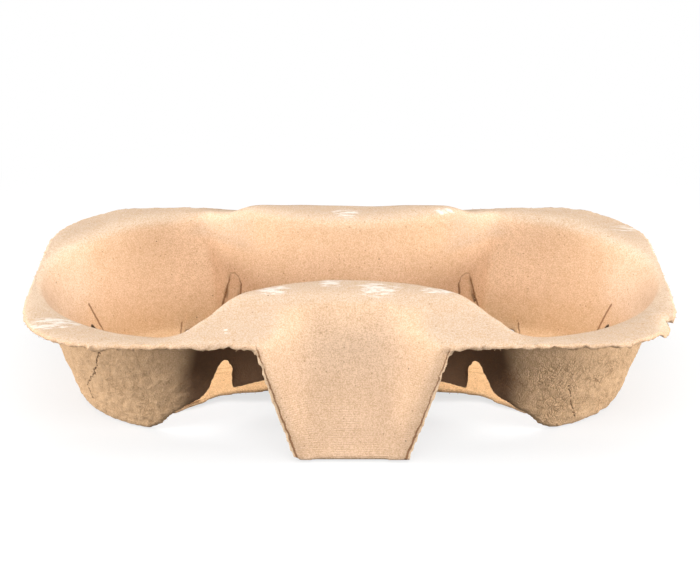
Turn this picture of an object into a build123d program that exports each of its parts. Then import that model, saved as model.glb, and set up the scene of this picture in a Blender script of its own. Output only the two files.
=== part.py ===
"""Moulded-pulp carrier for two cups: one felted sheet with two wells, two ridges and two hanging aprons.

Frame: X runs along the carrier, Y across it, Z up. The origin is on the table, under the middle of the carrier.
The sheet is the space between two masses: all that lies under its upper face, less all that lies under its lower face.
Each function below makes one form for both: an inset of zero is the upper face, an inset of one wall the lower face.
"""

import os
from math import cos, hypot, radians, sin, tan

from build123d import *

# Sheet and flange
length = 215.0
width = 117.0
corner_radius = 32.0
flange_height = 41.2
wall = 1.9
overrun = 20.0

# Wells
well_spacing = 111.0
well_floor_radius = 37.3
well_draft = 18.0
foot_radius = 1.5

# Lands: the ground between the wells, front and back, which carries the ridges
land_gap = 50.0
land_radius = 66.0
land_draft = 7.0
gap_width = 54.0

# Ridges on the lands
ridge_height = 51.0
ridge_half_length = 60.0
crest_width = 16.0
shoulder_height = 45.8
shoulder_width = 4.0
ridge_station_shares = (0.0, 0.52, 0.6, 0.69, 0.8, 0.88, 0.96, 1.1)
crest_rise_shares = (1.0, 1.0, 0.98, 0.74, 0.46, 0.34, 0.16, -0.03)
shoulder_rise_shares = (1.0, 1.0, 1.0, 0.99, 0.97, 0.85, 0.35, -0.04)

# Aprons, and the scoop for the fingers in each
apron_left_top = 31.3
apron_right_top = 33.5
apron_left_foot = 18.3
apron_right_foot = 19.3
apron_foot_height = 0.7
apron_spread = 120.0
apron_left_radius = 4.5
apron_right_radius = 1.0
scoop_width = 28.0
scoop_flare = 48.0
scoop_radius = 9.0

# Floor strip between the wells
strip_length = 112.0
strip_rise = 4.5
strip_width = 33.0
strip_end_width = 52.0
strip_neck_length = 88.0

# Slots at the feet of the lands: open arches at the front, hanging flaps with a slit at each side at the back
slot_length = 118.0
slot_foot_height = 7.0
slot_heel_lengths = (120.8, 124.0, 128.0, 136.0)
slot_heel_heights = (5.0, 3.2, 1.6, 0.0)
slot_kink_length = 93.0
slot_kink_height = 15.8
slot_apex_length = 82.0
slot_apex_height = 28.0
tab_width = 78.0
tab_height = 13.4
slot_reach = 48.0
flap_gap_reach = 31.0
flap_foot_height = 2.0
flap_end_length = 119.4
flap_end_slit = 1.0
flap_end_height = 7.3
flap_inner_length = 81.4
flap_inner_top_length = 79.4
flap_inner_height = 21.0
flap_outer_length = 94.0
flap_outer_top_length = 87.0
flap_outer_height = 24.0
flap_slit_foot_height = 4.6
flap_slit_foot_width = 1.2
flap_slit_top_width = 0.6

# Slits in the outer walls of the wells
slit_angle = 26.7
slit_lean = 4.2
slit_foot_height = 7.0
slit_top_height = 21.0
slit_foot_width = 0.9
slit_top_width = 0.5

# Tear in the flange's front right corner
tear_turn = -19.0
tear_depth = 6.0
tear_width = 2.4

half_width = width / 2
well_place = well_spacing / 2
well_slope = tan(radians(well_draft))
land_place = land_gap / 2 + land_radius
land_slope = tan(radians(land_draft))
crest_rise = ridge_height - flange_height
shoulder_rise = shoulder_height - flange_height
crest_edge = land_gap / 2 + crest_width
shoulder_edge = crest_edge + shoulder_width
roof = ridge_height + overrun
apron_foot_place = apron_spread / 2
scoop_slope = (apron_foot_place - crest_edge) / (ridge_height - apron_foot_height)


def slab(inset):
    """The ground under the flange, with both ridges lofted on it through cross-sections along the carrier.

    Its lower copy runs past the flange's edge, so that the edge stays open.
    """
    edge = half_width + overrun
    edge_top = flange_height - overrun * shoulder_rise / (half_width - shoulder_edge) - inset
    stations = list(zip(ridge_station_shares, crest_rise_shares, shoulder_rise_shares))
    mirrored = [(-place, crest, shoulder) for place, crest, shoulder in stations[:0:-1]]
    with BuildPart() as block:
        for place, crest, shoulder in mirrored + stations:
            crest_top = flange_height + crest * crest_rise - inset
            shoulder_top = flange_height + shoulder * shoulder_rise - inset
            with BuildSketch(Plane.YZ.offset(place * ridge_half_length)):
                with BuildLine():
                    Polyline(
                        (-edge, 0),
                        (edge, 0),
                        (edge, edge_top),
                        (shoulder_edge - inset, shoulder_top),
                        (crest_edge - inset, crest_top),
                        (inset - crest_edge, crest_top),
                        (inset - shoulder_edge, shoulder_top),
                        (-edge, edge_top),
                        close=True,
                    )
                make_face()
        loft(ruled=True)
        with Locations((0, 0, -overrun - inset)):
            Box(
                length + overrun,
                2 * edge + overrun,
                flange_height + overrun,
                align=(Align.CENTER, Align.CENTER, Align.MIN),
            )
        if not inset:
            with BuildSketch(Plane.XY.offset(-2 * overrun)):
                RectangleRounded(length, width, corner_radius)
            extrude(amount=roof + 2 * overrun, mode=Mode.INTERSECT)
    return block.part


def apron(inset):
    """The space behind the front apron's face, or for the lower mass all that lies outside its back face."""
    limit = apron_foot_place + overrun if inset else half_width - overrun
    with BuildPart() as block:
        with BuildSketch(Plane.XZ) as outline:
            with BuildLine():
                Polyline(
                    (-apron_left_foot, apron_foot_height),
                    (apron_right_foot, apron_foot_height),
                    (apron_right_top, flange_height),
                    (-apron_left_top, flange_height),
                    close=True,
                )
            make_face()
            fillet(outline.vertices().group_by(Axis.Y)[0].sort_by(Axis.X)[0], apron_left_radius)
            fillet(outline.vertices().group_by(Axis.Y)[0].sort_by(Axis.X)[-1], apron_right_radius)
        extrude(amount=apron_foot_place + overrun)
        with BuildSketch(Plane.YZ.offset(-length / 2)):
            with BuildLine():
                Polyline(
                    (-limit, -overrun),
                    (inset - apron_foot_place, -overrun),
                    (inset - apron_foot_place, apron_foot_height),
                    (inset - half_width, flange_height),
                    (inset - half_width, roof),
                    (-limit, roof),
                    close=True,
                )
            make_face()
        extrude(amount=length, mode=Mode.INTERSECT)
    return block.part


def scoop(inset):
    """The hollow in the front apron, which runs from the ridge's crest down to nothing at the apron's foot."""
    flare = radians(scoop_flare)
    back = inset * hypot(1, scoop_slope)
    half = scoop_width / 2 + inset * (1 - sin(flare)) / cos(flare)
    outer = apron_foot_place + overrun
    with BuildPart() as block:
        for height in (apron_foot_height, roof):
            inner = apron_foot_place - scoop_slope * (height - apron_foot_height) - back
            outer_half = half + (outer - inner) * tan(flare)
            with BuildSketch(Plane.XY.offset(height)):
                with BuildLine():
                    Polyline(
                        (-half, -inner),
                        (half, -inner),
                        (outer_half, -outer),
                        (-outer_half, -outer),
                        close=True,
                    )
                make_face()
        loft(ruled=True)
        recess = block.faces().sort_by(Axis.Y)[-1]
        fillet(recess.edges().sort_by(Axis.Z)[1:-1], scoop_radius + inset)
    return block.part


def pocket(inset):
    """The room for the cups: two round wells and the gap between the lands."""
    floor = wall - inset
    floor_radius = well_floor_radius - inset * well_slope + inset / cos(radians(well_draft))
    roof_radius = floor_radius + (roof - floor) * well_slope
    land_foot = land_radius + (ridge_height + overrun) * land_slope - inset / cos(radians(land_draft))
    land_roof = land_radius - overrun * land_slope - inset / cos(radians(land_draft))
    with BuildPart() as room:
        for side in (-1, 1):
            with BuildSketch(Plane.XZ) as profile:
                with BuildLine():
                    Polyline(
                        (side * well_place, floor),
                        (side * (well_place + floor_radius), floor),
                        (side * (well_place + roof_radius), roof),
                        (side * well_place, roof),
                        close=True,
                    )
                make_face()
                foot = profile.vertices().group_by(Axis.Y)[0].sort_by(Axis.X)[0 if side < 0 else -1]
                fillet(foot, foot_radius)
            revolve(axis=Axis((side * well_place, 0, 0), (0, 0, 1)))
        with Locations((0, 0, floor)):
            Box(well_spacing, gap_width, roof - floor, align=(Align.CENTER, Align.CENTER, Align.MIN))
        with Locations((0, -land_place, -overrun), (0, land_place, -overrun)):
            Cone(
                land_foot,
                land_roof,
                roof + overrun,
                align=(Align.CENTER, Align.CENTER, Align.MIN),
                mode=Mode.SUBTRACT,
            )
    return room.part


def strip(inset):
    """The arched floor strip that joins the wells."""
    with BuildPart() as block:
        with BuildSketch(Plane.XZ):
            with BuildLine():
                Polyline(
                    (strip_length / 2, wall - inset),
                    (strip_length / 2, -overrun),
                    (-strip_length / 2, -overrun),
                    (-strip_length / 2, wall - inset),
                )
                ThreePointArc(
                    (-strip_length / 2, wall - inset),
                    (0, wall + strip_rise - inset),
                    (strip_length / 2, wall - inset),
                )
            make_face()
        extrude(amount=slot_reach, both=True)
    return block.part


def mass(inset):
    """All that lies under one face of the sheet."""
    front_apron = apron(inset)
    front_scoop = scoop(inset)
    apron_mode = Mode.SUBTRACT if inset else Mode.ADD
    with BuildPart() as ground:
        add(slab(inset))
        for piece in (front_apron, mirror(front_apron, Plane.XZ, mode=Mode.PRIVATE)):
            add(piece, mode=apron_mode)
        for piece in (front_scoop, mirror(front_scoop, Plane.XZ, mode=Mode.PRIVATE)):
            add(piece, mode=Mode.SUBTRACT)
        add(pocket(inset), mode=Mode.SUBTRACT)
        add(strip(inset))
    return ground.part


# Slots: the right half of each outline in front view, from the middle outwards
open_arch = [
    (0, tab_height),
    (tab_width / 2, tab_height),
    (tab_width / 2, slot_apex_height - slot_foot_height),
    (slot_apex_length / 2, slot_apex_height),
    (slot_kink_length / 2, slot_kink_height),
    (slot_length / 2, slot_foot_height),
    *[(across / 2, up) for across, up in zip(slot_heel_lengths, slot_heel_heights)],
    (slot_heel_lengths[-1] / 2, -overrun),
    (0, -overrun),
]
flap_foot = [
    (0, tab_height),
    (tab_width / 2, tab_height),
    (tab_width / 2, flap_foot_height),
    (flap_end_length / 2, flap_foot_height),
    (flap_end_length / 2, flap_end_height),
    (flap_end_length / 2 + flap_end_slit, flap_end_height),
    (flap_end_length / 2 + flap_end_slit, -overrun),
    (0, -overrun),
]
floor_gap = [
    (0, slot_foot_height),
    (slot_length / 2, slot_foot_height),
    (slot_length / 2, -overrun),
    (0, -overrun),
]
flap_slits = [
    (flap_inner_length / 2, flap_inner_top_length / 2, flap_inner_height),
    (flap_outer_length / 2, flap_outer_top_length / 2, flap_outer_height),
]
with BuildPart() as slots:
    for outline, reach in ((open_arch, slot_reach), (flap_foot, -slot_reach), (floor_gap, -flap_gap_reach)):
        with BuildSketch(Plane.XZ):
            with BuildLine():
                Polyline(*outline)
                mirror(about=Plane.YZ)
            make_face()
        extrude(amount=reach)
    for foot_place, top_place, top_height in flap_slits:
        with BuildSketch(Plane.XZ):
            with BuildLine():
                Polyline(
                    (foot_place - flap_slit_foot_width / 2, flap_slit_foot_height),
                    (foot_place + flap_slit_foot_width / 2, flap_slit_foot_height),
                    (top_place + flap_slit_top_width / 2, top_height),
                    (top_place - flap_slit_top_width / 2, top_height),
                    close=True,
                )
            make_face()
            mirror(about=Plane.YZ)
        extrude(amount=-slot_reach)
    with BuildSketch(Plane.XY.offset(-overrun)):
        with BuildLine():
            Polyline((0, strip_width / 2), (strip_neck_length / 2, strip_width / 2))
            Line((strip_neck_length / 2, strip_width / 2), (slot_length / 2, strip_end_width / 2))
            Polyline(
                (slot_length / 2, strip_end_width / 2),
                (length / 2, strip_end_width / 2),
                (length / 2, 0),
            )
            mirror(about=Plane.XZ)
            mirror(about=Plane.YZ)
        make_face()
    extrude(amount=roof + overrun, mode=Mode.SUBTRACT)

# Slits: narrow leaning wedges through the outer wall of each well
with BuildPart() as slits:
    for side in (-1, 1):
        for turn in (-slit_angle, slit_angle):
            heading = Vector(side, 0, 0).rotate(Axis.Z, turn)
            plane = Plane(origin=(side * well_place, 0, 0), x_dir=Vector(0, 0, 1).cross(heading), z_dir=heading)
            lean = slit_lean if turn > 0 else -slit_lean
            with BuildSketch(plane):
                with BuildLine():
                    Polyline(
                        (lean - slit_foot_width / 2, slit_foot_height),
                        (lean + slit_foot_width / 2, slit_foot_height),
                        (slit_top_width / 2, slit_top_height),
                        (-slit_top_width / 2, slit_top_height),
                        close=True,
                    )
                make_face()
            extrude(amount=length / 2)

# Tear: a wedge that opens outwards, turned about the corner's own centre
with BuildPart() as tear:
    tear_tip = corner_radius - tear_depth
    tear_mouth = tear_width * (tear_depth + overrun) / tear_depth
    corner = Plane((length / 2 - corner_radius, corner_radius - half_width, shoulder_height - overrun))
    with BuildSketch(corner.rotated((0, 0, tear_turn))):
        with BuildLine():
            Polyline(
                (tear_tip, 0),
                (corner_radius + overrun, -tear_mouth / 2),
                (corner_radius + overrun, tear_mouth / 2),
                close=True,
            )
        make_face()
    extrude(amount=2 * overrun)

with BuildPart() as cup_carrier:
    add(mass(0))
    add(mass(wall), mode=Mode.SUBTRACT)
    add(slots.part, mode=Mode.SUBTRACT)
    add(slits.part, mode=Mode.SUBTRACT)
    add(tear.part, mode=Mode.SUBTRACT)

cup_carrier.part.label = "cup_carrier"
os.makedirs("parts", exist_ok=True)
export_step(cup_carrier.part, "parts/cup_carrier.step")
print("volume", round(cup_carrier.part.volume), "solids", len(cup_carrier.part.solids()))
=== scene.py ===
# %% [markdown]
# # A carrier for two cups, in moulded pulp
# The real object is one sheet of felted paper fibre. It is sucked onto a wire mould while wet, pressed and dried, so
# it has one soft side, one rough side, thick rounded folds and ragged edges. The measured solid comes from the frame
# and gives every size here. This file softens it into pulp and gives it its colour, fibres, scuffs and cracks.

import math

import bmesh
import bpy
import numpy as np
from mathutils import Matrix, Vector, noise
from mathutils.bvhtree import BVHTree


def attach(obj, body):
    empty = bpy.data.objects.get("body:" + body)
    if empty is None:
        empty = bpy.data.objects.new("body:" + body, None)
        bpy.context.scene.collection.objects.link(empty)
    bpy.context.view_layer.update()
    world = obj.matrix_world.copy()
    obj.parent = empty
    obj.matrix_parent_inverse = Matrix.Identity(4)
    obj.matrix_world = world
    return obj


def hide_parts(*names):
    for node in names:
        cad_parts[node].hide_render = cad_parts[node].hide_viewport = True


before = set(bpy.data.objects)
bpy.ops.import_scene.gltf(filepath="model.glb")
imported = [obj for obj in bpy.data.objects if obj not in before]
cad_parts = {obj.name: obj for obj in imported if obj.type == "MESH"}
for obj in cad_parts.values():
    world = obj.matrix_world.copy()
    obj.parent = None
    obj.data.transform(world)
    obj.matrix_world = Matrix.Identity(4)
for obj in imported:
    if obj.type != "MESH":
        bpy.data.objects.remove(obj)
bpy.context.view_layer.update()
carrier_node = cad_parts["cup_carrier"]

# %% [markdown]
# ## One even skin of small faces
# The measured solid has long thin triangles, which can't be softened or crumpled. A voxel remesh turns it into an
# even skin of quads about a millimetre across. Subdividing would keep the slivers, so the remesh is the better way.

# %% Remesh a merged copy
SKIN_STEP = 0.00107


def plain_copy(source, name):
    """A new object with its own merged copy of a mesh, at the origin."""
    mesh = source.data.copy()
    build = bmesh.new()
    build.from_mesh(mesh)
    bmesh.ops.remove_doubles(build, verts=build.verts, dist=0.00001)
    build.to_mesh(mesh)
    build.free()
    mesh.materials.clear()
    copy = bpy.data.objects.new(name, mesh)
    bpy.context.collection.objects.link(copy)
    return copy


def baked(thing):
    """Swaps an object's mesh for its evaluated one and drops its modifiers."""
    bpy.context.view_layer.update()
    graph = bpy.context.evaluated_depsgraph_get()
    mesh = bpy.data.meshes.new_from_object(thing.evaluated_get(graph))
    thing.modifiers.clear()
    thing.data = mesh
    return thing


pulp_sheet = plain_copy(carrier_node, "pulp_sheet")
measured = BVHTree.FromPolygons(
    [v.co.copy() for v in pulp_sheet.data.vertices],
    [tuple(p.vertices) for p in pulp_sheet.data.polygons],
)
measured_faces = [(p.center.copy(), p.normal.copy()) for p in pulp_sheet.data.polygons]

skin = pulp_sheet.modifiers.new("skin", "REMESH")
skin.mode = "VOXEL"
skin.voxel_size = SKIN_STEP
baked(pulp_sheet)
print("skin faces:", len(pulp_sheet.data.polygons))

# %% [markdown]
# ## Which side is which, and where the sheet ends
# A pulp sheet has a soft upper side and a rough lower side, and a raw edge all round. On the measured solid the side
# shows by looking straight up: the upper side sees the sky, the lower side sees the sheet. The two sides only meet
# at a raw edge, so the edge is where the side changes within a few small faces.

# %% Read the side from the measured faces
face_felt = np.zeros(len(measured_faces))
for index, (centre, normal) in enumerate(measured_faces):
    above = measured.ray_cast(centre + normal * 0.0003, Vector((0, 0, 1)))
    face_felt[index] = 1.0 if above[0] is None else 0.0

count = len(pulp_sheet.data.vertices)
points = np.empty(count * 3)
pulp_sheet.data.vertices.foreach_get("co", points)
points = points.reshape(-1, 3)
felt = np.zeros(count)
for index in range(count):
    felt[index] = face_felt[measured.find_nearest(Vector(points[index]))[2]]
print("upper side share:", round(felt.mean(), 3))

# %% [markdown]
# ## Softening the folds
# Wet fibre can't hold a sharp corner, so every fold of the real sheet is round. Each point is moved towards the mean
# of its neighbours, many times over. Points by a raw edge hardly move, because the edge would shrink.

# %% Smooth by neighbours, with a weight for each point
edges = np.empty(len(pulp_sheet.data.edges) * 2, dtype=np.int64)
pulp_sheet.data.edges.foreach_get("vertices", edges)
edges = edges.reshape(-1, 2)
valence = np.bincount(edges.ravel(), minlength=count).astype(float)


def neighbour_mean(values):
    """The mean of each point's neighbours, for points or for plain numbers."""
    wide = values.reshape(count, -1)
    total = np.empty_like(wide)
    for column in range(wide.shape[1]):
        lane = wide[:, column]
        total[:, column] = np.bincount(edges[:, 0], lane[edges[:, 1]], count)
        total[:, column] += np.bincount(edges[:, 1], lane[edges[:, 0]], count)
    return (total / valence[:, None]).reshape(values.shape)


def spread(values, rounds):
    """Blurs numbers over the skin."""
    for _ in range(rounds):
        values = 0.5 * values + 0.5 * neighbour_mean(values)
    return values


def ramp(values, low, high):
    """A smooth step from 0 at low to 1 at high."""
    share = np.clip((values - low) / (high - low), 0.0, 1.0)
    return share * share * (3 - 2 * share)


FOLD_ROUNDS, FOLD_PULL = 36, 0.5
EVEN_ROUNDS, EVEN_PULL = 2, 0.4
LEAST_WEIGHT = 0.05
raw = np.clip(1.6 - 2.4 * np.abs(2.0 * spread(felt, 5) - 1.0), 0.0, 1.0)
near_edge = np.clip(spread(raw, 12) * 5.0, 0.0, 1.0)
side, depth, height = (np.abs(points[:, 0]), points[:, 1], points[:, 2])
apron_share = ramp(np.abs(depth), 0.043, 0.049) * (1.0 - ramp(side, 0.026, 0.032))
soft_share = np.maximum(ramp(height, 0.029, 0.036), apron_share)
fold_weight = (LEAST_WEIGHT + (1.0 - LEAST_WEIGHT) * soft_share) * (1.0 - near_edge)
for _ in range(FOLD_ROUNDS):
    points += FOLD_PULL * fold_weight[:, None] * (neighbour_mean(points) - points)
for _ in range(EVEN_ROUNDS):
    points += EVEN_PULL * (neighbour_mean(points) - points)
print("softened; lowest point", round(points[:, 2].min() * 1000, 2), "mm")

# %% [markdown]
# ## Uneven forming
# No pulp sheet dries flat. The whole sheet is warped a little by slow noise, the same for both sides so that it keeps
# its thickness. The raw edge gets a short, rough wave. The outsides of the wells get the crumple of a shrinking sheet.
# The noise has a fixed seed, because it would differ from run to run without one.

# %% Where each kind of unevenness shows
NOISE_SEED = 4
noise.seed_set(NOISE_SEED)


def field(place, size, seed):
    """A smooth vector of noise, with features about as large as size."""
    return noise.noise_vector(Vector(place) / size + Vector((seed, -seed, 2.0 * seed)))


side, depth, height = (np.abs(points[:, 0]), points[:, 1], points[:, 2])
well_side = side - 0.030
low_outside = (1.0 - felt) * ramp(well_side, 0.0, 0.012) * (1.0 - ramp(height, 0.022, 0.036))
low_outside = spread(low_outside, 3) * (1.0 - near_edge)
standing = ramp(height, 0.004, 0.014)
front_rim = ramp(-depth, 0.036, 0.050) * ramp(height, 0.034, 0.038)
ragged = 0.35 + 0.85 * front_rim * (1.0 - ramp(side, 0.088, 0.100))

pulp_sheet.data.vertices.foreach_set("co", points.ravel())
pulp_sheet.data.update()
normals = np.empty(count * 3)
pulp_sheet.data.vertices.foreach_get("normal", normals)
normals = normals.reshape(-1, 3)
print("rough outside share:", round(float(low_outside.mean()), 3))

# %% Warp, ragged edge, crumple and the torn corner
SLOW_WARP, QUICK_WARP, FRAY, CRUMPLE, BOW = 0.0006, 0.00022, 0.00065, 0.0006, 0.0014
moved = points.copy()
for index in range(count):
    place = points[index]
    moved[index] += SLOW_WARP * standing[index] * np.array(field(place, 0.045, 3.0))
    moved[index] += QUICK_WARP * standing[index] * np.array(field(place, 0.012, 7.0))
    if near_edge[index] > 0.05:
        fray = np.array(field(place, 0.0045, 11.0)) + 1.1 * np.array(field(place, 0.0017, 13.0))
        moved[index] += FRAY * ragged[index] * near_edge[index] * standing[index] * fray
    if low_outside[index] > 0.02:
        crumple = abs(noise.noise(Vector(place) / 0.0034)) + 0.5 * abs(noise.noise(Vector(place) / 0.0018))
        moved[index] += CRUMPLE * low_outside[index] * (crumple - 0.35) * normals[index]

# Behind each well the flange dried in a slight upward bow.
bow = ramp(side, 0.040, 0.062) * (1.0 - ramp(side, 0.080, 0.106))
moved[:, 2] += BOW * bow * ramp(depth, 0.030, 0.055) * ramp(height, 0.030, 0.039)

# The torn front right corner of the flange hangs and curls under.
HANG, CURL, PULL_IN, RUMPLE = 0.0018, 0.0020, 0.0008, 0.0005
TORN_CENTRE = np.array([0.0755, -0.0265])
arm = points[:, :2] - TORN_CENTRE
reach = np.hypot(arm[:, 0], arm[:, 1])
turn = np.degrees(np.arctan2(arm[:, 1], arm[:, 0]))
flap = ramp(reach, 0.025, 0.033) * ramp(turn, -42.0, -31.0) * (1.0 - ramp(turn, -18.5, -14.5))
flap *= ramp(height, 0.030, 0.036)
curl = flap * ramp(reach, 0.028, 0.033)
moved[:, 2] -= HANG * flap + CURL * curl
moved[:, :2] -= (PULL_IN * curl / np.maximum(reach, 0.001))[:, None] * arm
for index in np.nonzero(flap > 0.05)[0]:
    moved[index] += RUMPLE * flap[index] * np.array(field(points[index], 0.0055, 17.0))
moved[:, 2] = np.maximum(moved[:, 2], 0.0)
pulp_sheet.data.vertices.foreach_set("co", moved.ravel())
pulp_sheet.data.update()
print("farthest move:", round(float(np.abs(moved - points).max()) * 1000, 2), "mm")

# %% [markdown]
# ## Marks for the material
# The material needs to know what only the mesh can tell: the side, the raw edge, the crumple, the level tops and the
# outward folds. Each becomes a number on every point. The raw edge leaves out the foot, so that no fibre goes below
# the table.

# %% Store the marks on the points
level_top = ramp(spread(normals[:, 2], 4), 0.35, 0.9) * ramp(height, 0.030, 0.039)
outward = spread(-(neighbour_mean(points) - points) * normals, 6).sum(axis=1)
fold = spread(ramp(outward, 0.000008, 0.000034) * felt * (1.0 - near_edge), 2)
print("folds cover", round(float((fold > 0.5).mean()), 3), "of the sheet")
marks = {
    "felt": spread(felt, 2),
    "raw_edge": spread(raw, 1) * ramp(height, 0.001, 0.002),
    "crumple": low_outside,
    "level": level_top,
    "fold": fold,
}
for name, values in marks.items():
    layer = pulp_sheet.data.attributes.new(name, "FLOAT", "POINT")
    layer.data.foreach_set("value", values.astype(np.float32))
pulp_sheet.data.shade_smooth()
print("sheet triangles:", 2 * len(pulp_sheet.data.polygons))

# %% [markdown]
# ## A small bench for shader sums
# Node trees are easier to read as sums. The class below wraps one output socket, and its operators add Math nodes.
# One method adds any other node: its settings go in first, then its inputs.

# %% The socket class and the node method
class Sock:
    """One output of a node, which can be used in sums."""

    def __init__(self, bench, socket):
        self.bench = bench
        self.socket = socket

    def out(self, name):
        return Sock(self.bench, self.socket.node.outputs[name])

    def sum(self, operation, *others):
        return self.bench.node("ShaderNodeMath", {"operation": operation}, *others)

    def __add__(self, other):
        return self.sum("ADD", self, other)

    def __radd__(self, other):
        return self.sum("ADD", other, self)

    def __sub__(self, other):
        return self.sum("SUBTRACT", self, other)

    def __rsub__(self, other):
        return self.sum("SUBTRACT", other, self)

    def __mul__(self, other):
        return self.sum("MULTIPLY", self, other)

    def __rmul__(self, other):
        return self.sum("MULTIPLY", other, self)

    def __truediv__(self, other):
        return self.sum("DIVIDE", self, other)

    def __abs__(self):
        return self.sum("ABSOLUTE", self)

    def most(self, other):
        return self.sum("MAXIMUM", self, other)

    def least(self, other):
        return self.sum("MINIMUM", self, other)

    def step(self, low, high):
        """Goes smoothly from 0 at low to 1 at high; low may be the larger."""
        flip = low > high
        span = {"From_Min": min(low, high), "From_Max": max(low, high)}
        span.update({"To_Min": 1.0, "To_Max": 0.0} if flip else {"To_Min": 0.0, "To_Max": 1.0})
        return self.bench.node("ShaderNodeMapRange", {"interpolation_type": "SMOOTHSTEP"}, Value=self, **span)


class Bench:
    """A material's node tree."""

    def __init__(self, material):
        material.use_nodes = True
        self.tree = material.node_tree
        self.tree.nodes.clear()

    def node(self, kind, settings=None, *ordered, **named):
        made = self.tree.nodes.new(kind)
        for key, value in (settings or {}).items():
            setattr(made, key, value)
        live = [socket for socket in made.inputs if socket.enabled]
        pairs = list(zip(live, ordered))
        for key, value in named.items():
            pairs.append((next(s for s in live if s.name == key.replace("_", " ")), value))
        for socket, value in pairs:
            if isinstance(value, Sock):
                self.tree.links.new(value.socket, socket)
            else:
                socket.default_value = value
        return Sock(self, next((socket for socket in made.outputs if socket.enabled), None))

    def blend(self, share, first, second):
        return self.node("ShaderNodeMix", {"data_type": "RGBA"}, Factor=share, A=first, B=second)

    def vector(self, operation, *values, **named):
        return self.node("ShaderNodeVectorMath", {"operation": operation}, *values, **named)

    def grain(self, place, scale, detail=2.0, roughness=0.5):
        return self.node("ShaderNodeTexNoise", None, Vector=place, Scale=scale, Detail=detail, Roughness=roughness)


pulp = bpy.data.materials.new("pulp")
bench = Bench(pulp)
print("bench ready for", pulp.name)

# %% [markdown]
# ## Where on the carrier
# All patterns are placed in millimetres in the carrier's own frame, so that they stay put in any view.

# %% Coordinates and sides
coords = bench.node("ShaderNodeTexCoord").out("Object")
mm = bench.vector("SCALE", coords, Scale=1000.0)
split = bench.node("ShaderNodeSeparateXYZ", None, mm)
across, deep, up = split.out("X"), split.out("Y"), split.out("Z")


def mark(name):
    """A number stored on the points."""
    return bench.node("ShaderNodeAttribute", {"attribute_name": name}).out("Fac")


felt_side, raw_edge, crumpled, folded = mark("felt"), mark("raw_edge"), mark("crumple"), mark("fold")
rough_side = 1.0 - felt_side
# The scoop in each apron's top slopes, so it hardly counts as level.
scoop = abs(across).step(27.0, 19.0) * abs(deep).step(38.0, 42.0) * up.step(49.0, 46.0)
level = mark("level") * (1.0 - 0.85 * scoop)
print("coordinates in millimetres")

# %% [markdown]
# ## Fibre: colour, mottling and flecks
# Recycled fibre is a warm tan with a fine salt-and-pepper grain, slow patches of pinker and yellower tan, and a few
# dark flecks of print. The rough side is a little yellower. The lamps don't light the carrier quite as in the
# photograph, so some places also get a tone that makes up for it. Those tones belong to this light, not to the pulp.

# %% Ground colour
FELT_WARM = (0.74, 0.505, 0.330, 1.0)
FELT_PINK = (0.84, 0.580, 0.405, 1.0)
TOP_PAINTED_SHADE = (0.57, 0.450, 0.348, 1.0)
WELL_FOOT_PAINTED_SHADE = (0.66, 0.440, 0.245, 1.0)
STRIP_PAINTED_LIGHT = (0.97, 0.625, 0.325, 1.0)
WIRE_SIDE = (0.80, 0.520, 0.300, 1.0)
HOLLOW_PAINTED_SHADOW = (0.12, 0.055, 0.028, 1.0)
RIDGE_SIDE_PAINTED_LIGHT = (0.94, 0.665, 0.455, 1.0)
APRON_PAINTED_LIGHT = (0.97, 0.700, 0.500, 1.0)
WELL_END_PAINTED_LIGHT = (0.82, 0.635, 0.480, 1.0)
FOLD_HIGHLIGHT = (0.78, 0.630, 0.480, 1.0)
patches = bench.grain(mm, 0.055, 3.0, 0.6).step(0.38, 0.62)
middle = abs(across).step(70.0, 30.0)
fine_grain = bench.grain(mm, 2.3, 3.0, 0.65)
coarse_grain = bench.grain(mm, 0.42, 2.0, 0.6)
ground = bench.blend(0.35 * patches + 0.45 * middle * deep.step(12.0, 0.0), FELT_WARM, FELT_PINK)
ground = bench.blend(level * 0.85, ground, TOP_PAINTED_SHADE)
# Painted shade: the level tops above are darker and greyer, as the lamps leave them too bright. The next four places
# get painted light or shade too.
# Painted light: the well walls beside the ridges are lightened where the lamps leave them too dark.
beside_ridge = abs(across).step(40.0, 50.0) * abs(across).step(74.0, 58.0) * abs(deep).step(12.0, 26.0)
ground = bench.blend(beside_ridge * up.step(6.0, 20.0) * (1.0 - level) * 0.6, ground, RIDGE_SIDE_PAINTED_LIGHT)
# Painted light: the middle of each apron is lightened against the shade of its scoop.
apron_lightened = abs(across).step(22.0, 8.0) * abs(deep).step(40.0, 47.0) * up.step(8.0, 18.0) * (1.0 - level)
ground = bench.blend(apron_lightened * (0.15 + 0.45 * up.step(22.0, 32.0)), ground, APRON_PAINTED_LIGHT)
# Painted shade: the high saddle by each ridge end gets the same darker, greyer tone as the level tops.
saddle = abs(across).step(30.0, 40.0) * abs(across).step(62.0, 52.0) * up.step(33.0, 37.0)
ground = bench.blend(saddle * (1.0 - level) * 0.6, ground, TOP_PAINTED_SHADE)
# Painted light: the far end walls of the wells are paler, as if better lit.
at_ends = abs(across).step(86.0, 96.0) * abs(deep).step(40.0, 20.0) * up.step(12.0, 26.0)
ground = bench.blend(at_ends * 0.6, ground, WELL_END_PAINTED_LIGHT)
# Painted highlight: the outward folds on the upper side, such as well rims and crest edges, are paler.
ground = bench.blend(folded * (0.45 - 0.30 * middle), ground, FOLD_HIGHLIGHT)
# Painted shade: low down in the wells the tan is darker and browner.
ground = bench.blend(up.step(22.0, 3.0) * abs(deep).step(48.0, 40.0) * 0.7, ground, WELL_FOOT_PAINTED_SHADE)
# Painted light lifts the strip, which the lamps leave too dark, and a painted shadow deepens the hollow under the
# valley, whose shade is too weak.
on_strip = abs(across).step(58.0, 50.0) * abs(deep).step(26.0, 20.0) * up.step(12.0, 8.0)
ground = bench.blend(on_strip, ground, STRIP_PAINTED_LIGHT)
ground = bench.blend(rough_side * 0.9, ground, WIRE_SIDE)
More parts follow.
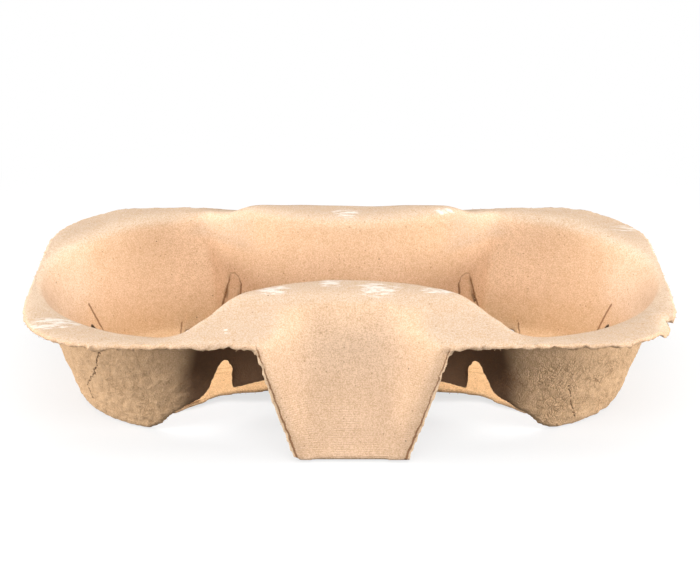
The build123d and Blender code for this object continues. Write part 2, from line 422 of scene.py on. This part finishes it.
# Painted shadow: the rough side under the valley, between the wells, is nearly black.
hollow_shadow_mask = abs(across).step(60.0, 50.0) * abs(deep).step(50.0, 46.0) * up.step(4.0, 9.0) * rough_side
ground = bench.blend(hollow_shadow_mask * 0.9, ground, HOLLOW_PAINTED_SHADOW)
print("ground colour with slow shifts of tone")

# %% Grain, flecks and dust
PEPPER = (0.52, 0.300, 0.145, 1.0)
SALT = (0.93, 0.720, 0.500, 1.0)
DUST = (0.34, 0.165, 0.075, 1.0)
FLECK = (0.16, 0.075, 0.030, 1.0)
pepper = fine_grain.step(0.58, 0.38) * 0.48 + coarse_grain.step(0.62, 0.36) * 0.14
ground = bench.blend(pepper * (1.0 - 0.85 * hollow_shadow_mask), ground, PEPPER)
salt = fine_grain.step(0.54, 0.66) * 0.24
ground = bench.blend(salt * (1.0 - 0.85 * hollow_shadow_mask), ground, SALT)
cells = bench.node("ShaderNodeTexVoronoi", None, Vector=mm, Scale=0.16)
lot = bench.node("ShaderNodeSeparateColor", None, cells.out("Color"))
flecks = cells.out("Distance").step(0.055, 0.03) * lot.out("Red").step(0.60, 0.62)
small_cells = bench.node("ShaderNodeTexVoronoi", None, Vector=mm, Scale=0.55)
small_lot = bench.node("ShaderNodeSeparateColor", None, small_cells.out("Color"))
dust = small_cells.out("Distance").step(0.20, 0.10) * small_lot.out("Red").step(0.60, 0.90)
ground = bench.blend(dust * 0.55, ground, DUST)
ground = bench.blend(flecks * 0.75, ground, FLECK)
print("grain, flecks and dust drawn")

# %% [markdown]
# ## Crumple and cracks on the rough side
# The outside of each well shrank as it dried, so its skin is creased like leather. A cell pattern gives the creases:
# the thin walls between its cells are sunk, and painted darker as shade in the creases. A hairline crack runs down the
# front of each well.

# %% Creases
CREASE_PAINTED_SHADE = (0.28, 0.140, 0.060, 1.0)
CRACK_BROWN = (0.12, 0.055, 0.022, 1.0)
CUT_BROWN = (0.20, 0.085, 0.030, 1.0)
HOLE_PAINTED_SHADOW = (0.02, 0.010, 0.006, 1.0)
STRIP_CREASE_SHADE = (0.45, 0.220, 0.090, 1.0)
bend = bench.vector("SCALE", bench.grain(mm, 0.22, 2.0).out("Color"), Scale=4.5)
bent = bench.vector("ADD", mm, bend)
leather = bench.node("ShaderNodeTexVoronoi", {"feature": "DISTANCE_TO_EDGE"}, Vector=bent, Scale=0.55)
crease = leather.step(0.15, 0.0) * bench.grain(mm, 0.16, 3.0, 0.6).step(0.38, 0.62) * crumpled
crease = crease * (0.55 + 0.45 * across.step(-30.0, 30.0))
# Painted shade: the creases are darkened where their relief would be shaded.
ground = bench.blend(crease * 0.55, ground, CREASE_PAINTED_SHADE)


def near_path(path, width, place=mm, shake=3.0):
    """One on a path of points in millimetres, falling to nothing at half its width."""
    jitter = bench.vector("SUBTRACT", bench.grain(mm, 0.5, 3.0).out("Color"), (0.5, 0.5, 0.5))
    here = bench.vector("ADD", place, bench.vector("SCALE", jitter, Scale=shake))
    line = None
    for start, end in zip(path, path[1:]):
        run = [b - a for a, b in zip(start, end)]
        size = sum(part * part for part in run)
        apart = bench.vector("SUBTRACT", here, start)
        along = bench.vector("DOT_PRODUCT", apart, run).out("Value") / size
        along = along.most(0.0).least(1.0)
        foot = bench.vector("SCALE", run, Scale=along)
        gap = bench.vector("DISTANCE", apart, foot).out("Value")
        near = gap.step(width / 2, width / 6)
        line = near if line is None else line.most(near)
    return line


print("creases drawn")

# %% Cracks, cuts and painted shadow in the holes
LEFT_CRACK = ((-81.3, 0, 30.5), (-84.4, 0, 19.5), (-87.5, 0, 13.2), (-87.8, 0, 10.5), (-86.6, 0, 5.8))
RIGHT_CRACK = ((71.0, 0, 20.0), (72.4, 0, 13.8), (73.6, 0, 8.0), (74.7, 0, 3.5))
front_view = bench.node("ShaderNodeCombineXYZ", None, across, 0.0, up)
crack = near_path(LEFT_CRACK, 0.8, front_view, 2.4).most(near_path(RIGHT_CRACK, 0.7, front_view, 2.6))
crack = crack * rough_side * deep.step(-20.0, -23.0)
ground = bench.blend(crack * 0.8, ground, CRACK_BROWN)

# The cuts are the same on both sides, so they are measured from the middle of the carrier.
mirrored = bench.node("ShaderNodeCombineXYZ", None, abs(across), abs(deep), up)
side_slit = near_path(((93.2, 20.7, 19.6), (88.2, 21.6, 7.5)), 1.2, mirrored, 0.6)
flat_place = bench.node("ShaderNodeCombineXYZ", None, abs(across), 0.0, up)
FLAP_EDGE = ((40.7, 0, 7.0), (39.5, 0, 22.0), (40.4, 0, 24.3), (42.0, 0, 25.2), (43.3, 0, 24.6), (47.0, 0, 11.0))
flap_edge = near_path(FLAP_EDGE, 0.9, flat_place, 0.9) * deep.step(24.0, 26.0) * deep.step(46.0, 44.0)
floor_nick = near_path(((62.3, 0, 1.5), (61.9, 0, 4.6)), 0.8, flat_place, 0.9) * deep.step(30.0, 33.0) * felt_side
cut_line = side_slit.most(flap_edge * (1.0 - 0.6 * up.step(21.5, 23.5))).most(floor_nick * 0.8)
ground = bench.blend(cut_line * 0.75, ground, CUT_BROWN)
# Painted shadow: black at the slit ends, in the gap by each back flap and at the torn corner, where shade would show
# through.
slit_shadow = near_path(((92.0, 17.8, 12.5), (91.0, 18.9, 10.2)), 1.9, mirrored, 0.6) * felt_side
flap_shadow = near_path(((44.9, 36.9, 16.2), (45.6, 37.2, 13.8)), 1.8, mm, 0.5) * felt_side
from_above = bench.node("ShaderNodeCombineXYZ", None, across, deep, 0.0)
tear_shadow = near_path(((106.6, -37.4, 0), (103.6, -36.6, 0)), 2.6, from_above, 0.9) * up.step(32.0, 34.0)
ground = bench.blend(slit_shadow.most(flap_shadow).most(tear_shadow) * 0.95, ground, HOLE_PAINTED_SHADOW)
# Painted shade: a soft brown band along the concave crease behind the strip.
strip_crease = near_path(((36.0, 1.7, 5.0), (50.0, 1.7, 2.9)), 1.2, mirrored, 0.8) * felt_side
ground = bench.blend(strip_crease * 0.35, ground, STRIP_CREASE_SHADE)
# A dark brown mark near the strip's front edge in the left well.
strip_mark = near_path(((-55.5, -23.3, 2.2), (-52.5, -21.6, 2.6), (-49.5, -19.6, 3.0)), 2.0)
ground = bench.blend(strip_mark * 0.8, ground, CUT_BROWN)
print("cracks, cuts and holes drawn")

# %% [markdown]
# ## Raw edges, scuffs and the wire print
# Raw edges are toasted brown in places. The crests and the flange are scuffed white where carriers rubbed together.
# The aprons carry the print of the wire mould in fine level lines, and two soft upright smudges of painted shade.

# %% Edge lines
RIM_PALE = (0.90, 0.680, 0.470, 1.0)
EDGE_BROWN = (0.24, 0.095, 0.030, 1.0)
TOAST_BROWN = (0.36, 0.165, 0.060, 1.0)
APRON_FOOT, APRON_TOP, APRON_LOW, APRON_HIGH = (18.3, 19.3), (31.3, 33.5), 0.7, 41.2
risen = (up - APRON_LOW) / (APRON_HIGH - APRON_LOW)
left_half, right_half = [risen * (top - foot) + foot for foot, top in zip(APRON_FOOT, APRON_TOP)]
inside = (left_half + across).least(right_half - across)
on_apron = abs(deep).step(51.0, 55.0) * inside.step(-3.0, 0.0) * up.step(41.0, 38.0)
broken = bench.grain(mm, 0.35, 3.0, 0.7)
low_down = up.step(22.0, 3.0)
wander = (broken - 0.5) * 1.6 + inside
pale_rim = wander.step(1.6, 1.0) * on_apron
ground = bench.blend(pale_rim * 0.45, ground, RIM_PALE)
edge_line = wander.step(1.1, 1.4) * (wander - 0.35 * low_down).step(1.85, 1.55) * on_apron
edge_line = edge_line * (broken + 0.25 * low_down).step(0.30, 0.46)
ground = bench.blend(edge_line * 0.8, ground, EDGE_BROWN)
toasted = raw_edge * broken.step(0.54, 0.68) * 0.45
ground = bench.blend(toasted, ground, TOAST_BROWN)
print("edge lines drawn")

# %% Scuffs, smudges and the wire print
SCUFF_WHITE = (0.80, 0.740, 0.670, 1.0)
PRINT_AND_SHADE_TAN = (0.50, 0.290, 0.160, 1.0)
WIRE_PITCH = 0.72
# Each oval is its middle, then its half width and half height, in millimetres.
SHADE_SMUDGES = ((-12.3, 27.0, 3.2, 13.0), (11.5, 24.0, 3.2, 13.0))
SCUFFS = (
    (-25.0, -36.6, 7.0, 4.5),
    (-6.3, -30.5, 5.0, 6.5),
    (9.0, -35.5, 9.0, 6.0),
    (28.0, -37.0, 6.5, 3.5),
    (-1.6, 31.0, 6.0, 4.5),
    (34.6, 36.0, 6.0, 2.6),
    (-101.0, 7.3, 4.5, 6.0),
    (-95.0, -42.0, 12.0, 6.0),
    (99.0, 40.0, 6.5, 4.0),
    (-39.3, -52.0, 1.3, 1.3),
)


def ovals(places, other, inner):
    """One inside each oval, falling to nothing at its rim; other is the second direction."""
    covered = None
    for middle_x, middle_other, wide, tall in places:
        flat_x = (across - middle_x) / wide
        flat_other = (other - middle_other) / tall
        patch = (flat_x * flat_x + flat_other * flat_other).step(1.0, inner)
        covered = patch if covered is None else covered.most(patch)
    return covered


streaks = bench.grain(bench.vector("MULTIPLY", mm, (0.22, 0.9, 0.5)), 0.95, 4.0, 0.72)
rubbed = ovals(SCUFFS, deep, 0.2)
scuffed = rubbed * felt_side * level.step(0.15, 0.5) * (streaks + 0.12 * rubbed).step(0.55, 0.68)
ground = bench.blend(scuffed * 0.85, ground, SCUFF_WHITE)
# Painted shade: two soft upright smudges on the aprons, from the shading of each scoop.
shade_smudge = ovals(SHADE_SMUDGES, up, 0.0)
ground = bench.blend(shade_smudge * on_apron * 0.12, ground, PRINT_AND_SHADE_TAN)

wire = bench.node("ShaderNodeMath", {"operation": "SINE"}, up * (2 * math.pi / WIRE_PITCH))
wire_print = wire * on_apron * bench.grain(mm, 0.12, 2.0).step(0.35, 0.6) * felt_side
ground = bench.blend((wire_print * 0.5 + 0.5) * on_apron * 0.06, ground, PRINT_AND_SHADE_TAN)
print("scuffs, smudges and wire print drawn")

# %% [markdown]
# ## Relief and the finished surface
# Bump gives what is too fine for the mesh: fibre grain, wire lines and creases. Pulp is dull, so it is rough all over.

# %% Bump and shader
relief = fine_grain * (0.35 + 0.5 * rough_side) + coarse_grain * (0.5 + 0.9 * rough_side) + wire_print * 0.10
relief = relief - crease * 0.45 - crack * 1.2 - edge_line * 0.8 - cut_line - flecks * 0.1
bumped = bench.node("ShaderNodeBump", None, Strength=0.55, Distance=0.0006, Height=relief)
surface = bench.node(
    "ShaderNodeBsdfPrincipled",
    None,
    Base_Color=ground,
    Roughness=0.95,
    Normal=bumped,
    Specular_IOR_Level=0.25,
)
bench.node("ShaderNodeOutputMaterial", None, Surface=surface)
pulp_sheet.data.materials.append(pulp)
print("pulp nodes:", len(pulp.node_tree.nodes))

# %% [markdown]
# ## Frayed fibres on the raw edges
# A raw pulp edge is fuzzy: single fibres stand out of it. They are far too many to place by hand, so Geometry Nodes
# scatter one short bent fibre over the raw edge, with a fixed seed.

# %% Scatter fibres with Geometry Nodes
def fibre_tree():
    """Geometry Nodes: short fibres on the faces where raw_edge is high."""
    group = bpy.data.node_groups.new("raw_edge_fibres", "GeometryNodeTree")
    face = group.interface
    inputs = {
        "Sheet": "Geometry",
        "Density": "Float",
        "Fibre Length": "Float",
        "Fibre Radius": "Float",
        "Seed": "Int",
        "Finish": "Material",
    }
    for label, kind in inputs.items():
        face.new_socket(label, in_out="INPUT", socket_type="NodeSocket" + kind)
    face.new_socket("Fibres", in_out="OUTPUT", socket_type="NodeSocketGeometry")
    add, link = group.nodes.new, group.links.new
    given, result = add("NodeGroupInput"), add("NodeGroupOutput")

    edge = add("GeometryNodeInputNamedAttribute")
    edge.data_type = "FLOAT"
    edge.inputs["Name"].default_value = "raw_edge"
    high = add("FunctionNodeCompare")
    high.operation = "GREATER_THAN"
    high.inputs[1].default_value = 0.55
    link(edge.outputs[0], high.inputs[0])

    scatter = add("GeometryNodeDistributePointsOnFaces")
    link(given.outputs["Sheet"], scatter.inputs["Mesh"])
    link(high.outputs[0], scatter.inputs["Selection"])
    link(given.outputs["Density"], scatter.inputs["Density"])
    link(given.outputs["Seed"], scatter.inputs["Seed"])

    spine = add("GeometryNodeCurvePrimitiveBezierSegment")
    spine.inputs["Resolution"].default_value = 3
    spine.inputs["Start"].default_value = (0, 0, -0.2)
    spine.inputs["Start Handle"].default_value = (0, 0, 0.2)
    spine.inputs["End Handle"].default_value = (0.1, 0, 0.6)
    spine.inputs["End"].default_value = (0.5, 0, 0.8)
    ring = add("GeometryNodeCurvePrimitiveCircle")
    ring.inputs["Resolution"].default_value = 3
    thin = add("ShaderNodeMath")
    thin.operation = "DIVIDE"
    link(given.outputs["Fibre Radius"], thin.inputs[0])
    link(given.outputs["Fibre Length"], thin.inputs[1])
    link(thin.outputs[0], ring.inputs["Radius"])
    tube = add("GeometryNodeCurveToMesh")
    link(spine.outputs["Curve"], tube.inputs["Curve"])
    link(ring.outputs["Curve"], tube.inputs["Profile Curve"])
    tube.inputs["Fill Caps"].default_value = True

    turn = add("FunctionNodeRandomValue")
    turn.data_type = "FLOAT_VECTOR"
    turn.inputs["Min"].default_value = (-0.7, -0.7, -3.14)
    turn.inputs["Max"].default_value = (0.7, 0.7, 3.14)
    twist = add("FunctionNodeRotateRotation")
    twist.rotation_space = "LOCAL"
    link(scatter.outputs["Rotation"], twist.inputs["Rotation"])
    link(turn.outputs["Value"], twist.inputs["Rotate By"])

    spread_size = add("FunctionNodeRandomValue")
    spread_size.data_type = "FLOAT"
    spread_size.inputs[2].default_value = 0.4
    spread_size.inputs[3].default_value = 1.3
    size = add("ShaderNodeMath")
    size.operation = "MULTIPLY"
    link(spread_size.outputs[1], size.inputs[0])
    link(given.outputs["Fibre Length"], size.inputs[1])

    place = add("GeometryNodeInstanceOnPoints")
    link(scatter.outputs["Points"], place.inputs["Points"])
    link(tube.outputs["Mesh"], place.inputs["Instance"])
    link(twist.outputs["Rotation"], place.inputs["Rotation"])
    link(size.outputs[0], place.inputs["Scale"])
    real = add("GeometryNodeRealizeInstances")
    link(place.outputs["Instances"], real.inputs["Geometry"])
    paint = add("GeometryNodeSetMaterial")
    link(real.outputs["Geometry"], paint.inputs["Geometry"])
    link(given.outputs["Finish"], paint.inputs["Material"])
    link(paint.outputs["Geometry"], result.inputs["Fibres"])
    return group


fibre = bpy.data.materials.new("fibre")
fibre_bench = Bench(fibre)
fibre_place = fibre_bench.node("ShaderNodeTexCoord").out("Object")
fibre_tone = fibre_bench.grain(fibre_place, 260.0, 2.0)
fibre_colour = fibre_bench.blend(fibre_tone.step(0.35, 0.65), (0.80, 0.54, 0.33, 1.0), (0.62, 0.38, 0.20, 1.0))
fibre_skin = fibre_bench.node("ShaderNodeBsdfPrincipled", None, Base_Color=fibre_colour, Roughness=0.9)
fibre_bench.node("ShaderNodeOutputMaterial", None, Surface=fibre_skin)

edge_fibres = bpy.data.objects.new("edge_fibres", pulp_sheet.data.copy())
bpy.context.collection.objects.link(edge_fibres)
scattering = edge_fibres.modifiers.new("fibres", "NODES")
scattering.node_group = fibre_tree()
wanted = {"Density": 500000.0, "Fibre Length": 0.0006, "Fibre Radius": 0.00006, "Seed": 5, "Finish": fibre}
for item in scattering.node_group.interface.items_tree:
    if item.name in wanted:
        scattering[item.identifier] = wanted[item.name]
baked(edge_fibres)
print("fibre faces:", len(edge_fibres.data.polygons))

# %% [markdown]
# ## What each piece stands for
# Both pieces ride on the one body. The softened sheet stands for the measured solid, which stays for the physics.

# %% Tie the pieces to the frame
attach(pulp_sheet, "root")
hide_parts("cup_carrier")
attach(edge_fibres, "root")
print("pieces tied:", pulp_sheet.name, edge_fibres.name)

# %% [markdown]
# ## Floor, light and camera
# The floor is white to the camera and darker to the object, so that little light comes up under the flange. A large
# lamp stands high in front, with another overhead. A weak one low in front fills the apron, and one at each side
# lights the outsides of the wells.

# %% Floor and world
def looked_at(any_bench):
    """One for the rays that a viewer sees by, straight or by way of a shine."""
    ray = any_bench.node("ShaderNodeLightPath")
    return ray.out("Is Camera Ray").most(ray.out("Is Glossy Ray")).most(ray.out("Is Transmission Ray"))


floor_mesh = bpy.data.meshes.new("floor")
floor_mesh.from_pydata([(-6, -6, 0), (6, -6, 0), (6, 6, 0), (-6, 6, 0)], [], [(0, 1, 2, 3)])
floor = bpy.data.objects.new("floor", floor_mesh)
bpy.context.collection.objects.link(floor)
floor_finish = bpy.data.materials.new("floor")
floor_bench = Bench(floor_finish)
floor_place = floor_bench.vector("LENGTH", floor_bench.node("ShaderNodeTexCoord").out("Object")).out("Value")
lit = floor_bench.node("ShaderNodeBsdfDiffuse", None, Color=(0.90, 0.90, 0.90, 1.0))
white = floor_bench.node("ShaderNodeEmission", None, Color=(1.0, 1.0, 1.0, 1.0), Strength=1.0)
to_camera = floor_bench.node("ShaderNodeMixShader", None, 0.70 + 0.30 * floor_place.step(0.13, 0.26), lit, white)
to_object = floor_bench.node("ShaderNodeBsdfDiffuse", None, Color=(0.02, 0.02, 0.02, 1.0))
both = floor_bench.node("ShaderNodeMixShader", None, looked_at(floor_bench), to_object, to_camera)
floor_bench.node("ShaderNodeOutputMaterial", None, Surface=both)
floor_mesh.materials.append(floor_finish)

world = bpy.data.worlds.new("studio")
bpy.context.scene.world = world
air = Bench(world)
dim = air.node("ShaderNodeBackground", None, Color=(1.0, 0.97, 0.94, 1.0), Strength=0.015)
bright = air.node("ShaderNodeBackground", None, Color=(1.0, 1.0, 1.0, 1.0), Strength=1.0)
backdrop = air.node("ShaderNodeMixShader", None, looked_at(air), dim, bright)
air.node("ShaderNodeOutputWorld", None, Surface=backdrop)
print("floor and world made")


# %% Lamps
LAMP_TARGET = (0, 0, 0.02)
# Each lamp is its place, width, height and power.
LAMPS = {
    "front_lamp": ((0.0, -0.85, 1.14), 1.8, 0.4, 14.0),
    "top_lamp": ((0.0, 0.10, 1.05), 1.6, 0.8, 9.5),
    "fill_lamp": ((0.0, -1.2, 0.42), 0.5, 0.3, 3.0),
    "left_lamp": ((-1.12, -0.22, 0.17), 0.6, 0.26, 14.5),
    "right_lamp": ((1.12, -0.22, 0.17), 0.6, 0.26, 14.5),
}


def soft_lamp(name, place, width, tall, watts):
    """A rectangular lamp that faces the carrier."""
    data = bpy.data.lights.new(name, "AREA")
    data.shape = "RECTANGLE"
    data.size = width
    data.size_y = tall
    data.energy = watts
    lamp = bpy.data.objects.new(name, data)
    lamp.location = place
    lamp.rotation_euler = (Vector(LAMP_TARGET) - Vector(place)).to_track_quat("-Z", "Y").to_euler()
    bpy.context.collection.objects.link(lamp)


for name, settings in LAMPS.items():
    soft_lamp(name, *settings)
print("lamps made:", len(LAMPS))

# %% Camera at the photograph's place
CAMERA_PITCH = 25.0
CAMERA_REACH = 0.650
AIM_LIFT = 1.055
LENS = 96.4
PIVOT_HEIGHT = 0.020
camera_data = bpy.data.cameras.new("camera")
camera_data.lens = LENS
camera_data.sensor_width = 36.0
camera = bpy.data.objects.new("camera", camera_data)
pitch = math.radians(CAMERA_PITCH)
camera.location = (0.0, -CAMERA_REACH * math.cos(pitch), PIVOT_HEIGHT + CAMERA_REACH * math.sin(pitch))
camera.rotation_euler = (math.radians(90.0 - CAMERA_PITCH + AIM_LIFT), 0.0, 0.0)
bpy.context.collection.objects.link(camera)
bpy.context.scene.camera = camera
bpy.context.scene.view_settings.view_transform = "Standard"
print("camera at", [round(part, 3) for part in camera.location])
